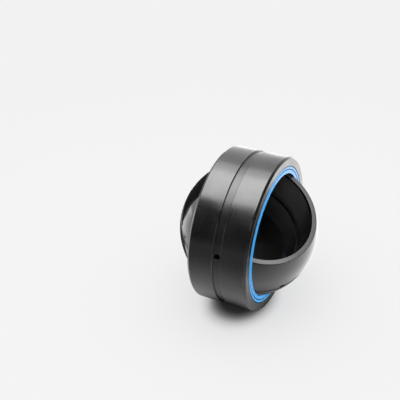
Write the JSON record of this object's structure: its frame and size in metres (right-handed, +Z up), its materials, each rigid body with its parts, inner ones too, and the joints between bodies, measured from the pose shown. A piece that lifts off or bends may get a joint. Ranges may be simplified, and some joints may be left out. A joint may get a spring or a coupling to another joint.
{
  "type": "spherical plain bearing",
  "caption": "Steel spherical plain bearing: a bored ball ring swivels in an outer ring with a spherical raceway, sealed at both faces by blue double-lip seals.",
  "frame": {"origin": "centre of the ball, which is the middle of the outer ring on its axis", "axes": "+Y along the outer ring's axis out of its front face, +Z up as the bearing stands on its rim, +X completes the right-handed set"},
  "size_m": [0.105, 0.092, 0.105],
  "materials": {
    "outer_steel": "dark phosphated, satin",
    "inner_steel": "dark phosphated, ground ball, satin",
    "seal_blue": "smooth moulded elastomer, semi-gloss"
  },
  "bodies": {
    "outer": {"outer_ring": "outer_steel", "front_seal": "seal_blue", "rear_seal": "seal_blue"},
    "inner": {"inner_ring": "inner_steel"}
  },
  "joints": [
    {"name": "inner_swivel", "type": "hinge", "parent": "outer", "child": "inner", "pos_m": [0, 0, 0], "axis": [0.9421, 0, -0.3355], "continuous": true}
  ]
}
